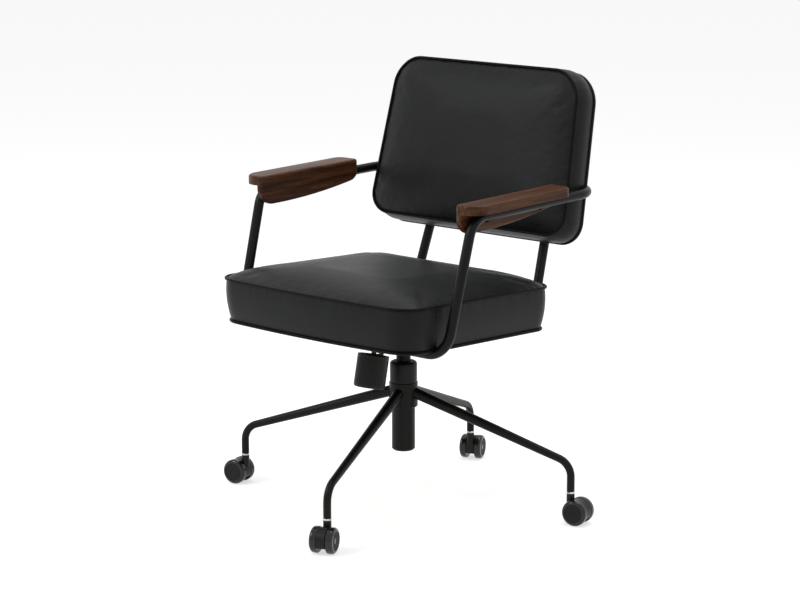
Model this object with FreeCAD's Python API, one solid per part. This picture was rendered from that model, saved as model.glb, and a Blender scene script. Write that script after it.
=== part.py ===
import FreeCAD, Part
import math
import os

from FreeCAD import Matrix, Rotation, Vector

# Swivel chair with a bent tube frame. Millimetres, +Z up, origin on the floor under the column axis.
# The front of the chair faces -Y and +X is the sitter's left.

# Casters
wheel_dia = 50.0
wheel_width = 13.8
wheel_edge_r = 6.0
wheel_inner_edge = 1.5
wheel_recess = 0.9
wheel_bore_floor = 2.6
wheel_cap_dia = 36.5
fork_width = 17.0
wheel_side_gap = 0.7
caster_trail = 16.0
axle_dia = 6.0
hood_dia = 48.0
hood_cut_angle = 62.0
caster_turn_even = 4.5
caster_turn_odd = -6.4
neck_dia = 15.4
ring_height = 4.0
ring_dia = 16.4
stem_dia = 11.0
stem_pin_dia = 7.0
stem_insert = 26.0
stem_pin_length = 18.0

# Star base
base_yaw = 18.0
leg_count = 4
base_radius = 348.0
leg_root_z = 232.0
leg_slope = 18.4
leg_root_dia = 22.5
leg_tip_dia = 15.0
leg_bend_r = 36.0
stub_bottom_z = 62.0
hub_dia = 56.0
hub_bottom_z = 195.5
hub_height = 49.0

# Gas column
tube_dia = 45.5
tube_taper = 1.5
tube_wall = 3.0
tube_bottom_z = 108.0
tube_floor = 4.0
cap_dia = 53.0
cap_height = 41.0
cap_roof = 5.0
cap_shoulder_r = 6.0
cap_groove = 1.0
bush_length = 48.0
cylinder_dia = 28.0
cylinder_bore = 22.0
cylinder_lift = 16.0
cylinder_seal = 12.0
rod_dia = 10.0
piston_height = 9.0
bearing_dia = 32.0
bearing_height = 5.0
clip_dia = 18.0
clip_height = 1.6
clip_slot = 4.0
taper_length = 42.0
release_pin_dia = 6.0
release_pin_length = 16.0
release_pin_out = 6.0

# Seat plane and tilt mechanism
seat_plane_z = 365.0
seat_recline = 2.3
plate_width = 200.0
plate_front = 122.0
plate_rear = 118.0
plate_thick = 3.0
ear_drop = 34.0
ear_length = 34.0
pivot_ahead = 45.0
pivot_drop = 24.0
shaft_dia = 12.0
bush_wall = 2.0
shaft_head_dia = 20.0
shaft_head_thick = 3.0
pan_width = 84.0
pan_wall = 3.0
pan_front = 122.0
pan_rear = 54.0
pan_depth = 44.0
pan_top_gap = 6.0
pan_rear_drop = 26.0
pan_knee_y = -52.0
socket_dia = 40.0
socket_length = 32.0
socket_below_tip = 2.0

# Tilt tension knob, its bolt and spring
knob_dia = 61.0
knob_height = 64.0
knob_wall = 4.0
knob_floor = 9.0
knob_rib_count = 36
knob_rib = 0.9
knob_edge = 4.0
knob_ahead = 86.0
knob_top_z = 312.0
knob_lean = 12.0
tension_bolt_dia = 10.0
bolt_head_dia = 18.0
bolt_head_height = 6.0
spring_mean_dia = 34.0
spring_wire = 5.0
spring_turns = 5
spring_washer_dia = 46.0
spring_washer_thick = 3.0

# Height lever
lever_dia = 8.0
lever_drop = 19.5
lever_reach = 232.0
lever_straight = 70.0
lever_sink_x = 122.0
lever_sink = 48.0
lever_bend_r = 16.0
lever_grip_dia = 15.0
lever_grip_length = 78.0
lever_tongue_gap = 0.1
lever_pivot_x = 35.0
lever_pin_dia = 5.0
lever_pin_length = 18.0
lever_wall_play = 0.9
lug_gap = 0.8
lug_thick = 3.0
lug_round = 5.5

# Bent tube frame
frame_tube_dia = 19.0
frame_wall = 1.6
arm_x = 270.0
arm_corner_y = -114.0
arm_corner_z = 609.5
arm_rise = 1.2
post_foot_x = 264.5
post_foot_y = -181.0
post_foot_bend = 44.0
post_top_bend = 42.0
rear_bend = 63.0
upright_x = 149.8
upright_ref_z = 485.0
upright_y = 242.5
upright_lean = 18.0
upright_toe = 3.5
upright_bend = 40.0
upright_above_loop = 30.0
loop_seat_gap = 0.2
plug_lip = 2.0
plug_depth = 12.0

# Armrests
armrest_length = 279.0
armrest_front_y = -138.0
armrest_width = 53.0
armrest_thick = 18.0
armrest_seat_gap = 0.05
flange_thick = 11.2
flange_gap = 1.2
flange_front_drop = 39.0
flange_rear_drop = 21.0
flange_bow = 7.0
armrest_front_corner = 34.0
armrest_rear_corner = 20.0
armrest_inner_corner = 7.0
flange_front_corner = 34.0
flange_rear_corner = 24.0
flange_round = 2.5
armrest_round = 5.0
armrest_screw_dia = 5.0
armrest_screw_inset = 62.0

# Seat board and cushion
seat_front_y = -262.0
seat_rear_y = 166.0
seat_front_half = 246.0
seat_rear_half = 238.0
seat_front_bow = 14.0
seat_front_corner = 48.0
seat_rear_corner = 42.0
seat_piping_z = 438.0
seat_bottom_inset = 9.0
seat_bulge = 5.0
seat_crown = 30.0
seat_crown_reach = 160.0
board_thick = 12.0
board_inset = 14.0

# Backrest
back_bottom_y = 175.2
back_bottom_z = 524.0
back_lean = 13.0
back_height = 327.0
back_bottom_half = 248.0
back_top_half = 228.0
back_bottom_corner = 46.0
back_top_corner = 56.0
back_depth = 56.0
back_bulge = 6.0
back_crown = 20.0
back_crown_reach = 116.0
back_board_thick = 10.0
back_board_inset = 16.0

# Fasteners and clearances
bolt_dia = 6.0
bolt_play = 0.25
bolt_bite = 8.0
dome_dia = 13.0
dome_height = 3.6
plate_bolt_dia = 8.0
plate_bolt_x = 76.0
plate_bolt_front = 92.0
plate_bolt_rear = 92.0
rail_bolt_front = 120.0
rail_bolt_rear = 100.0
loop_bolt_x = 100.0
spacer_dia = 16.0
spacer_up = 42.0
running_play = 0.05
soft_play = 0.4
side_play = 0.3

UP = Vector(0, 0, 1)
ACROSS = Vector(1, 0, 0)
ORIGIN = Vector(0, 0, 0)
frame_r = frame_tube_dia / 2


def save(name, shape):
    """Writes one sub-part as its own STEP file."""
    shape.exportStep("parts/%s.step" % name)


def fused(shapes):
    """Joins touching solids into one and drops the seams between coplanar faces."""
    return shapes[0].multiFuse(shapes[1:]).removeSplitter()


def circle_edges(shape, keep=lambda centre: True):
    """Circular edges whose centre passes a test."""
    return [e for e in shape.Edges if e.Curve.TypeId == "Part::GeomCircle" and keep(e.CenterOfMass)]


def cylinder(dia, length, base=ORIGIN, axis=UP):
    """A solid round bar of the given diameter from base along axis."""
    return Part.makeCylinder(dia / 2, length, base, axis)


def ring(outer_dia, inner_dia, height, base, axis=UP):
    """A flat ring or sleeve standing on base along axis."""
    body = Part.makeCylinder(outer_dia / 2, height, base, axis)
    return body.cut(Part.makeCylinder(inner_dia / 2, height, base, axis))


def turned(points, base=ORIGIN):
    """Revolves a closed (radius, height) outline about the vertical through base."""
    wire = Part.makePolygon([Vector(r, 0, z) for r, z in points + points[:1]])
    solid = Part.Face(wire).revolve(ORIGIN, UP, 360)
    solid.translate(base)
    return solid


def filleted_path(points, radii):
    """Straight runs joined by tangent arcs; radii holds one value per inner point."""
    edges = []
    start = points[0]
    for before, corner, after, radius in zip(points, points[1:], points[2:], radii):
        into = (before - corner).normalize()
        out = (after - corner).normalize()
        half = into.getAngle(out) / 2
        run = radius / math.tan(half)
        first = corner + into * run
        last = corner + out * run
        inward = (into + out).normalize()
        middle = corner + inward * (radius / math.sin(half) - radius)
        edges.append(Part.LineSegment(start, first).toShape())
        edges.append(Part.Arc(first, middle, last).toShape())
        start = last
    edges.append(Part.LineSegment(start, points[-1]).toShape())
    return Part.Wire(edges)


def swept_tube(path, start, direction, outer_dia):
    """Sweeps a round section along a wire as one solid."""
    section = Part.Wire([Part.makeCircle(outer_dia / 2, start, direction)])
    shell = Part.BRepOffsetAPI.MakePipeShell(path)
    shell.add(section)
    shell.build()
    shell.makeSolid()
    return shell.shape()


def mirrored(shape):
    """The same piece on the other side of the chair."""
    return shape.mirror(ORIGIN, Vector(1, 0, 0))


def round_corner_outline(corners, radii, bow=0.0):
    """Closed wire in the XY plane: straight sides, tangent corner arcs, first side bowed outwards."""
    count = len(corners)
    arcs = []
    for i in range(count):
        corner = corners[i]
        into = (corners[i - 1] - corner).normalize()
        out = (corners[(i + 1) % count] - corner).normalize()
        half = into.getAngle(out) / 2
        run = radii[i] / math.tan(half)
        middle = corner + (into + out).normalize() * (radii[i] / math.sin(half) - radii[i])
        arcs.append((corner + into * run, middle, corner + out * run))
    edges = []
    for i in range(count):
        start, middle, end = arcs[i]
        edges.append(Part.Arc(start, middle, end).toShape())
        after = arcs[(i + 1) % count][0]
        if i == 0 and bow:
            side = (after - end).normalize()
            outward = Vector(side.y, -side.x, 0)
            edges.append(Part.Arc(end, (end + after) * 0.5 + outward * bow, after).toShape())
        else:
            edges.append(Part.LineSegment(end, after).toShape())
    return Part.Wire(edges)


def seat_placement():
    """Places a solid drawn on a level board under the reclined seat plane."""
    return FreeCAD.Placement(Vector(0, 0, seat_plane_z), Rotation(Vector(1, 0, 0), -seat_recline))


def on_seat(shape):
    """Moves a shape from the level drawing plane to the reclined seat plane."""
    shape.Placement = seat_placement().multiply(shape.Placement)
    return shape


def seat_point(x, y, z):
    """A point given in the reclined seat frame."""
    return seat_placement().multVec(Vector(x, y, z))


def seat_plane_height(y):
    """Height of the seat board's underside at y."""
    return seat_plane_z - y * math.tan(math.radians(seat_recline))


# Star base

def placed_on_leg(shape, index):
    """Turns a piece drawn along +X to one leg's direction."""
    shape.rotate(ORIGIN, UP, base_yaw - 90.0 + index * 360.0 / leg_count)
    return shape


def placed_on_stem(shape, index):
    """Turns a caster piece about its own stem, then to its leg."""
    shape.rotate(Vector(base_radius, 0, 0), UP, caster_turn_odd if index % 2 else caster_turn_even)
    return placed_on_leg(shape, index)


def stand_cone(radius, extra=0.0):
    """The column's tapered seat in the hub, from the hub's foot to its top."""
    top = radius + hub_height * math.tan(math.radians(tube_taper))
    return Part.makeCone(radius + extra, top + extra, hub_height, Vector(0, 0, hub_bottom_z))


def make_hub():
    hub = Part.makeCylinder(hub_dia / 2, hub_height, Vector(0, 0, hub_bottom_z))
    hub = hub.makeChamfer(1.2, circle_edges(hub))
    return hub.cut(stand_cone(tube_dia / 2))


def make_leg():
    slope = math.radians(leg_slope)
    along = Vector(math.cos(slope), 0, -math.sin(slope))
    corner = Vector(base_radius, 0, leg_root_z - base_radius * math.tan(slope))
    turn = math.pi / 2 - slope
    run = leg_bend_r * math.tan(turn / 2)
    bend_start = corner - along * run
    root = Vector(0, 0, leg_root_z)
    taper = Part.makeCone(leg_root_dia / 2, leg_tip_dia / 2, root.distanceToPoint(bend_start), root, along)
    section = Part.Face(Part.Wire([Part.makeCircle(leg_tip_dia / 2, bend_start, along)]))
    centre = Vector(base_radius - leg_bend_r, 0, corner.z - run)
    bend = section.revolve(centre, Vector(0, 1, 0), math.degrees(turn))
    stub_top = corner.z - run
    stub = cylinder(leg_tip_dia, stub_top - stub_bottom_z, Vector(base_radius, 0, stub_bottom_z))
    stub = stub.makeChamfer(1.0, circle_edges(stub, lambda centre: centre.z < stub_bottom_z + 1))
    leg = fused([taper, bend, stub])
    leg = leg.cut(Part.makeCylinder(hub_dia / 2, 2 * leg_root_z))
    socket = Part.makeCylinder(stem_dia / 2, stem_insert + 2, Vector(base_radius, 0, stub_bottom_z))
    return leg.cut(socket)


# Gas column

hub_top_z = hub_bottom_z + hub_height
tube_top_r = tube_dia / 2 + hub_height * math.tan(math.radians(tube_taper))
cap_top_z = hub_top_z + cap_height
tube_top_z = cap_top_z - cap_roof
tube_bore = tube_dia - 2 * tube_wall
lift_bottom_z = tube_bottom_z + cylinder_lift
cylinder_top_z = seat_plane_z - lever_drop - lever_dia / 2 - lever_tongue_gap - release_pin_out
taper_start_z = cylinder_top_z - taper_length


def make_stand_tube():
    r = tube_dia / 2
    hole_r = rod_dia / 2 + running_play
    floor_z = tube_bottom_z + tube_floor
    outside = [(hole_r, tube_bottom_z), (r - 3, tube_bottom_z), (r, tube_bottom_z + 3),
               (r, hub_bottom_z), (tube_top_r, hub_top_z), (tube_top_r, tube_top_z)]
    inside = [(tube_bore / 2, tube_top_z), (tube_bore / 2, floor_z), (hole_r, floor_z)]
    return turned(outside + inside)


def make_column_cap():
    outer = Part.makeCylinder(cap_dia / 2, cap_height, Vector(0, 0, hub_top_z))
    outer = outer.makeFillet(cap_shoulder_r, circle_edges(outer, lambda centre: centre.z > cap_top_z - 1))
    groove_z = cap_top_z - cap_shoulder_r - 2 * cap_groove
    groove = ring(cap_dia + 2, cap_dia - 2 * cap_groove, cap_groove, Vector(0, 0, groove_z))
    inside = Part.makeCylinder(tube_top_r, tube_top_z - hub_top_z, Vector(0, 0, hub_top_z))
    hole = Part.makeCylinder(cylinder_dia / 2 + side_play, cap_height, Vector(0, 0, hub_top_z))
    return outer.cut(groove).cut(inside).cut(hole)


def make_guide_bush():
    base = Vector(0, 0, tube_top_z - bush_length)
    return ring(tube_bore, cylinder_dia + 2 * running_play, bush_length, base)


def make_thrust_bearing():
    base = Vector(0, 0, tube_bottom_z + tube_floor)
    race = ring(bearing_dia, rod_dia, bearing_height, base)
    groove = Part.makeTorus((bearing_dia + rod_dia) / 4 + 4, 1.2, base + Vector(0, 0, bearing_height), UP)
    return race.cut(groove)


def make_piston_rod():
    foot_z = tube_bottom_z - 2 * clip_height
    travel_top = taper_start_z - cylinder_seal - piston_height
    rod = cylinder(rod_dia, travel_top - foot_z, Vector(0, 0, foot_z))
    head_z = travel_top - piston_height
    head = cylinder(cylinder_bore - 2 * running_play, piston_height, Vector(0, 0, head_z))
    return fused([rod, head])


def make_retaining_clip():
    base = Vector(0, 0, tube_bottom_z - clip_height)
    clip = ring(clip_dia, rod_dia, clip_height, base)
    slot = Part.makeBox(clip_dia, clip_slot, clip_height, base - Vector(0, clip_slot / 2, 0))
    return clip.cut(slot)


def make_gas_cylinder():
    r = cylinder_dia / 2
    top_r = r - taper_length * math.tan(math.radians(tube_taper))
    rod_r = rod_dia / 2 + running_play
    pin_r = release_pin_dia / 2 + running_play
    pin_floor = cylinder_top_z - release_pin_length
    chamber_r = cylinder_bore / 2
    chamber_top = taper_start_z - cylinder_seal / 2
    chamber_floor = lift_bottom_z + cylinder_seal
    outside = [(rod_r, lift_bottom_z), (r - 1, lift_bottom_z), (r, lift_bottom_z + 1), (r, taper_start_z),
               (top_r, cylinder_top_z), (pin_r, cylinder_top_z), (pin_r, pin_floor), (0, pin_floor)]
    chamber = [(0, chamber_top), (chamber_r, chamber_top),
               (chamber_r, chamber_floor), (rod_r, chamber_floor)]
    return turned(outside + chamber)


def make_release_pin():
    base = Vector(0, 0, cylinder_top_z - release_pin_length + release_pin_out)
    pin = cylinder(release_pin_dia, release_pin_length, base)
    return pin.makeChamfer(0.6, circle_edges(pin, lambda centre: centre.z > cylinder_top_z))


# Tilt mechanism, drawn level under the seat plane

pivot_y = -pivot_ahead
pivot_z = -pivot_drop
ear_gap = 0.5
ear_x = pan_width / 2 + ear_gap


def pan_profile(inset):
    """Side outline of the lower pan; inset moves its sides and floor inwards and opens its top."""
    slant = math.tan(math.radians(knob_lean - seat_recline))
    floor_z = -pan_depth + inset
    front = -pan_front + inset
    rear = pan_rear - inset
    front_floor_z = floor_z + (pan_knee_y - front) * slant
    points = [Vector(0, front, inset - pan_top_gap), Vector(0, front, front_floor_z),
              Vector(0, pan_knee_y, floor_z), Vector(0, rear - 14, floor_z), Vector(0, rear, floor_z + 12),
              Vector(0, rear, inset - pan_rear_drop), Vector(0, pivot_y + 6, inset - pan_top_gap)]
    return Part.Face(Part.makePolygon(points + points[:1]))


def make_pan():
    outer = pan_profile(0).extrude(Vector(pan_width, 0, 0))
    outer.translate(Vector(-pan_width / 2, 0, 0))
    floor_edges = [e for e in outer.Edges
                   if abs(abs(e.CenterOfMass.x) - pan_width / 2) < 0.1 and e.CenterOfMass.z < -pan_depth + 8]
    outer = outer.makeFillet(5.0, floor_edges)
    inner = pan_profile(pan_wall).extrude(Vector(pan_width - 2 * pan_wall, 0, 0))
    inner.translate(Vector(-pan_width / 2 + pan_wall, 0, 0))
    pan = outer.cut(inner)
    outside_x = -pan_width / 2 - 1
    shaft_end = Vector(outside_x, pivot_y, pivot_z)
    shaft_bore = cylinder(shaft_dia + 2 * bush_wall, pan_width + 2, shaft_end, ACROSS)
    lever_end = Vector(outside_x, 0, -lever_drop)
    lever_hole = cylinder(lever_dia + 2 * lever_wall_play, pan_wall + 2, lever_end, ACROSS)
    pan = on_seat(pan.cut(shaft_bore).cut(lever_hole).fuse(lever_lugs()))
    socket_bottom_z = cylinder_top_z - socket_below_tip - socket_length
    socket = Part.makeCylinder(socket_dia / 2, socket_length, Vector(0, 0, socket_bottom_z))
    pan = pan.fuse(socket)
    top_r = cylinder_dia / 2 - taper_length * math.tan(math.radians(tube_taper))
    seat_cone = Part.makeCone(cylinder_dia / 2, top_r, taper_length, Vector(0, 0, taper_start_z))
    through = Part.makeCylinder(cylinder_dia / 2, taper_start_z, ORIGIN)
    pan = pan.cut(seat_cone).cut(through)
    slot_r = tension_bolt_dia / 2 + 2.0
    hole = Part.makeCylinder(slot_r, 2 * pan_depth, knob_axis_point(knob_height), knob_axis())
    return pan.cut(hole).removeSplitter()


def lever_lugs():
    """Two lugs on the pan's side wall that carry the height lever's cross pin."""
    wall_x = -pan_width / 2 + pan_wall / 2
    lugs = []
    for side in (-1, 1):
        near = side * (lever_dia / 2 + lug_gap)
        base = Vector(-lever_pivot_x, near, -lever_drop)
        lug = Part.makeCylinder(lug_round, lug_thick, base, Vector(0, side, 0))
        web = Part.makeBox(-lever_pivot_x - wall_x, lug_thick, 2 * lug_round,
                           Vector(wall_x, min(near, near + side * lug_thick), -lever_drop - lug_round))
        eye = Part.makeCylinder(lever_pin_dia / 2 + running_play, lug_thick, base, Vector(0, side, 0))
        lugs.append(lug.fuse(web).cut(eye))
    return Part.makeCompound(lugs)


def make_tilt_shaft():
    reach = ear_x + plate_thick + side_play
    shaft = cylinder(shaft_dia, 2 * reach, Vector(-reach, pivot_y, pivot_z), ACROSS)
    heads = [cylinder(shaft_head_dia, shaft_head_thick, Vector(x, pivot_y, pivot_z), ACROSS)
             for x in (-reach - shaft_head_thick, reach)]
    return on_seat(fused([shaft] + heads))


def make_shaft_bush(side):
    base = Vector(side * (pan_width / 2 - pan_wall - 2), pivot_y, pivot_z)
    outer_dia = shaft_dia + 2 * bush_wall
    return on_seat(ring(outer_dia, shaft_dia + 2 * running_play, pan_wall + 2, base, ACROSS * side))


def make_top_plate():
    base = Vector(-plate_width / 2, -plate_front, -plate_thick)
    plate = Part.makeBox(plate_width, plate_front + plate_rear, plate_thick, base)
    upright_edges = [e for e in plate.Edges if abs(e.tangentAt(0).z) > 0.9]
    plate = plate.makeFillet(14.0, upright_edges)
    ears = []
    for side in (-1, 1):
        x = side * (ear_x + plate_thick / 2) - plate_thick / 2
        outline = [Vector(x, pivot_y + along, z)
                   for along, z in ((-ear_length, -plate_thick), (ear_length, -plate_thick),
                                    (ear_length / 3, -ear_drop), (-ear_length / 3, -ear_drop))]
        ear = Part.Face(Part.makePolygon(outline + outline[:1])).extrude(Vector(plate_thick, 0, 0))
        low = [e for e in ear.Edges if abs(e.tangentAt(0).x) > 0.9 and e.CenterOfMass.z < -ear_drop + 1]
        ears.append(ear.makeFillet(12.0, low))
    plate = fused([plate] + ears)
    shaft_end = Vector(-plate_width / 2, pivot_y, pivot_z)
    shaft_hole = cylinder(shaft_dia + 2 * running_play, plate_width, shaft_end, ACROSS)
    holes = [cylinder(plate_bolt_dia + 2 * bolt_play, plate_thick, Vector(x, y, -plate_thick))
             for x, y in plate_bolt_places()]
    return on_seat(plate.cut(Part.makeCompound([shaft_hole] + holes)))


def plate_bolt_places():
    """Centres of the four bolts that hold the mechanism to the seat board."""
    return [(x, y) for x in (-plate_bolt_x, plate_bolt_x) for y in (-plate_bolt_front, plate_bolt_rear)]


# Tension knob

def knob_axis():
    """Unit vector from the knob's foot up along its bolt."""
    lean = math.radians(knob_lean)
    return Vector(0, math.sin(lean), math.cos(lean))


def knob_axis_point(below_top):
    """Point on the bolt axis, measured down from the knob's top face."""
    return Vector(0, -knob_ahead, knob_top_z) - knob_axis() * below_top


def make_tension_knob():
    r = knob_dia / 2
    body = Part.makeCylinder(r, knob_height)
    body = body.makeFillet(knob_edge, circle_edges(body, lambda centre: centre.z < 1))
    body = body.makeChamfer(1.0, circle_edges(body, lambda centre: centre.z > knob_height - 1))
    cup = Part.makeCylinder(r - knob_wall, knob_height, Vector(0, 0, knob_floor))
    bore = Part.makeCylinder(tension_bolt_dia / 2 + running_play, knob_height)
    flute = Part.makeCylinder(knob_rib, knob_height - 14, Vector(r + knob_rib * 0.25, 0, 7))
    flutes = []
    for i in range(knob_rib_count):
        one = flute.copy()
        one.rotate(ORIGIN, UP, i * 360.0 / knob_rib_count)
        flutes.append(one)
    knob = body.cut(cup).cut(bore).cut(Part.makeCompound(flutes))
    return along_knob(knob)


def along_knob(shape):
    """Moves a piece drawn upright on the knob's foot to the leaning bolt axis."""
    shape.Placement = FreeCAD.Placement(knob_axis_point(knob_height), Rotation(Vector(1, 0, 0), -knob_lean))
    return shape


def make_spring_washer():
    base = Vector(0, 0, knob_floor)
    washer = ring(spring_washer_dia, tension_bolt_dia + 2 * running_play, spring_washer_thick, base)
    return along_knob(washer)


def bolt_top():
    """Height of the tension bolt's head above the knob's foot."""
    return knob_height + (seat_plane_z - plate_thick - pan_top_gap - knob_top_z) - bolt_head_height + 1


def make_tension_bolt():
    shank_end = bolt_top()
    shank = Part.makeCylinder(tension_bolt_dia / 2, shank_end - 2, Vector(0, 0, 2))
    head = Part.makeCylinder(bolt_head_dia / 2, bolt_head_height, Vector(0, 0, shank_end))
    return along_knob(fused([shank, head]))


def helix_point(angle, radius, pitch, base_z):
    """Point and unit tangent of a helix about Z."""
    slope = pitch / (2 * math.pi)
    point = Vector(radius * math.cos(angle), radius * math.sin(angle), base_z + slope * angle)
    tangent = Vector(-radius * math.sin(angle), radius * math.cos(angle), slope).normalize()
    return point, tangent


def arc_from_tangent(start, control, end):
    """Circular arc from start to end whose end tangents meet at control."""
    weight = start.distanceToPoint(end) / (2 * start.distanceToPoint(control))
    middle = (start + control * (2 * weight) + end) * (1 / (2 + 2 * weight))
    return Part.Arc(start, middle, end).toShape()


def biarc(start, start_tangent, end, end_tangent):
    """Two tangent arcs between two points with given tangents."""
    chord = end - start
    both = start_tangent + end_tangent
    a = 2 * (1 - start_tangent.dot(end_tangent))
    b = 2 * chord.dot(both)
    c = -chord.dot(chord)
    d = (-b + math.sqrt(b * b - 4 * a * c)) / (2 * a)
    first = start + start_tangent * d
    second = end - end_tangent * d
    joint = (first + second) * 0.5
    return [arc_from_tangent(start, first, joint), arc_from_tangent(joint, second, end)]


def spring_length():
    """Free height between the washer in the knob and the pan's floor."""
    seat_gap = pan_floor_above_knob()
    return knob_height - knob_floor - spring_washer_thick + seat_gap - 2 * side_play


def pan_floor_above_knob():
    """Gap between the knob's top face and the pan's underside along the bolt."""
    top = knob_axis_point(0)
    local = seat_placement().inverse().multVec(top)
    slant = math.tan(math.radians(knob_lean - seat_recline))
    floor_here = -pan_depth + (pan_knee_y - local.y) * slant
    return (floor_here - local.z) * math.cos(math.radians(knob_lean - seat_recline))


def make_spring():
    pitch = (spring_length() - spring_wire) / spring_turns
    radius = spring_mean_dia / 2
    base_z = knob_floor + spring_washer_thick + side_play + spring_wire / 2
    edges = []
    for quarter in range(2 * spring_turns):
        start, start_tangent = helix_point(quarter * math.pi, radius, pitch, base_z)
        end, end_tangent = helix_point((quarter + 1) * math.pi, radius, pitch, base_z)
        edges += biarc(start, start_tangent, end, end_tangent)
    first, tangent = helix_point(0, radius, pitch, base_z)
    print("spring: pitch %.2f, least gap between turns %.2f" % (pitch, pitch - spring_wire))
    return along_knob(swept_tube(Part.Wire(edges), first, tangent, spring_wire))


# Height lever

def make_lever():
    z = -lever_drop
    points = [Vector(2, 0, z), Vector(-lever_straight, 0, z), Vector(-lever_sink_x, 0, -lever_sink),
              Vector(-lever_reach, 0, -lever_sink - 4)]
    path = filleted_path(points, [lever_bend_r, lever_bend_r])
    rod = swept_tube(path, points[0], Vector(-1, 0, 0), lever_dia)
    flat = Part.makeBox(14, 2 * lever_dia, lever_dia, Vector(-8, -lever_dia, z + lever_dia / 2 - 2))
    pin = Part.makeCylinder(lever_pin_dia / 2, lever_pin_length,
                            Vector(-lever_pivot_x, -lever_pin_length / 2, z), Vector(0, 1, 0))
    return on_seat(rod.cut(flat).fuse(pin))


def make_lever_grip():
    tip = Vector(-lever_reach, 0, -lever_sink - 4)
    bend = Vector(-lever_sink_x, 0, -lever_sink)
    along = (bend - tip).normalize()
    start = tip - along * 6
    grip = Part.makeCylinder(lever_grip_dia / 2, lever_grip_length, start, along)
    grip = grip.makeFillet(3.5, circle_edges(grip))
    bore = Part.makeCylinder(lever_dia / 2, lever_grip_length, tip, along)
    return on_seat(grip.cut(bore))


# Bent tube frame

def back_rear_y(z, depth):
    """Y of a plane parallel to the backrest's face, depth behind it, at height z."""
    lean = math.radians(back_lean)
    return back_bottom_y + (z - back_bottom_z) * math.tan(lean) + depth / math.cos(lean)


def loop_rear_point():
    """Centre of the loop's rear run on the sitter's left, before its bend is rounded."""
    rise = math.tan(math.radians(arm_rise))
    lean = math.radians(back_lean)
    fixed = back_rear_y(arm_corner_z, back_depth) + (frame_r + loop_seat_gap) / math.cos(lean)
    y = (fixed - rise * arm_corner_y * math.tan(lean)) / (1 - rise * math.tan(lean))
    return Vector(arm_x, y, arm_corner_z + rise * (y - arm_corner_y))


def loop_corners():
    """Half of the loop, from under the seat to behind the backrest, on the sitter's left."""
    drop = (frame_r + loop_seat_gap) / math.cos(math.radians(seat_recline))
    foot_z = seat_plane_height(post_foot_y) - drop
    rear = loop_rear_point()
    return [Vector(0, post_foot_y, foot_z), Vector(post_foot_x, post_foot_y, foot_z),
            Vector(arm_x, arm_corner_y, arm_corner_z), rear, Vector(0, rear.y, rear.z)]


def loop_solid(dia):
    points = loop_corners()
    path = filleted_path(points, [post_foot_bend, post_top_bend, rear_bend])
    half = swept_tube(path, points[0], Vector(1, 0, 0), dia)
    return fused([half, mirrored(half)])


def upright_direction():
    """Unit vector up along the upright on the sitter's left."""
    lean = math.tan(math.radians(upright_lean))
    toe = math.tan(math.radians(upright_toe))
    return Vector(-toe, lean, 1).normalize()


def upright_point(z):
    """Point on the left upright's centre line at height z."""
    up = upright_direction()
    return Vector(upright_x, upright_y, upright_ref_z) + up * ((z - upright_ref_z) / up.z)


def rail_corner():
    """Where the upright's line meets the line of its rail under the seat board."""
    recline = math.radians(seat_recline)
    offset = frame_r / math.cos(recline)
    up = upright_direction()
    slope = math.tan(recline)
    start = upright_point(upright_ref_z)
    rail_z = seat_plane_z - offset - start.y * slope
    t = (rail_z - start.z) / (up.z + slope * up.y)
    return start + up * t


def upright_solid(dia, cut_back=0.0):
    corner = rail_corner()
    top = upright_point(loop_rear_point().z + upright_above_loop - cut_back)
    forward = Vector(0, -math.cos(math.radians(seat_recline)), math.sin(math.radians(seat_recline)))
    front = corner + forward * (corner.y - post_foot_y)
    path = filleted_path([front, corner, top], [upright_bend])
    return swept_tube(path, front, forward * -1, dia)


def loop_bolt_points():
    """Where the bolts cross the loop's rear run into the backrest."""
    rear = loop_rear_point()
    return [Vector(side * loop_bolt_x, rear.y, rear.z) for side in (-1, 1)]


def back_normal():
    """Unit vector from the sitter into the backrest."""
    lean = math.radians(back_lean)
    return Vector(0, math.cos(lean), -math.sin(lean))


def spacer_point():
    """Point on the left upright's centre line at its backrest spacer."""
    return upright_point(back_bottom_z + spacer_up)


def board_gap(point, distance):
    """Distance from a point to the backrest board's rear face along the backrest's normal."""
    lean = math.radians(back_lean)
    on_face = Vector(0, back_bottom_y, back_bottom_z) + back_normal() * distance
    return (point - on_face).dot(back_normal())


def make_spacer():
    centre = spacer_point()
    reach = board_gap(centre, back_depth)
    tube = ring(spacer_dia, bolt_dia + 2 * bolt_play, reach, centre, back_normal() * -1)
    return tube.cut(upright_solid(frame_tube_dia))


def bolt_with_dome(inner, outward, shank):
    """Round-head bolt whose head sits at inner + outward and whose shank points back."""
    shaft = Part.makeCylinder(bolt_dia / 2, shank, inner, outward)
    end = inner + outward * shank
    head = Part.makeCylinder(dome_dia / 2, dome_height, end, outward)
    rim = circle_edges(head, lambda centre: (centre - end).dot(outward) > dome_height - 0.5)
    head = head.makeFillet(dome_height * 0.6, rim)
    return fused([shaft, head])


def back_bolts():
    """Bolts that hold the backrest: two through the loop, two through the uprights' spacers."""
    normal = back_normal()
    bolts = []
    for centre in loop_bolt_points():
        start = centre - normal * (frame_r + bolt_bite)
        bolts.append(bolt_with_dome(start, normal, 2 * frame_r + bolt_bite))
    centre = spacer_point()
    reach = board_gap(centre, back_depth) + bolt_bite
    lean_apart = dome_dia / 2 * math.sin(math.radians(upright_lean - back_lean))
    one = bolt_with_dome(centre - normal * reach, normal, reach + frame_r + lean_apart + running_play)
    return bolts + [one, mirrored(one)]


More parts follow.
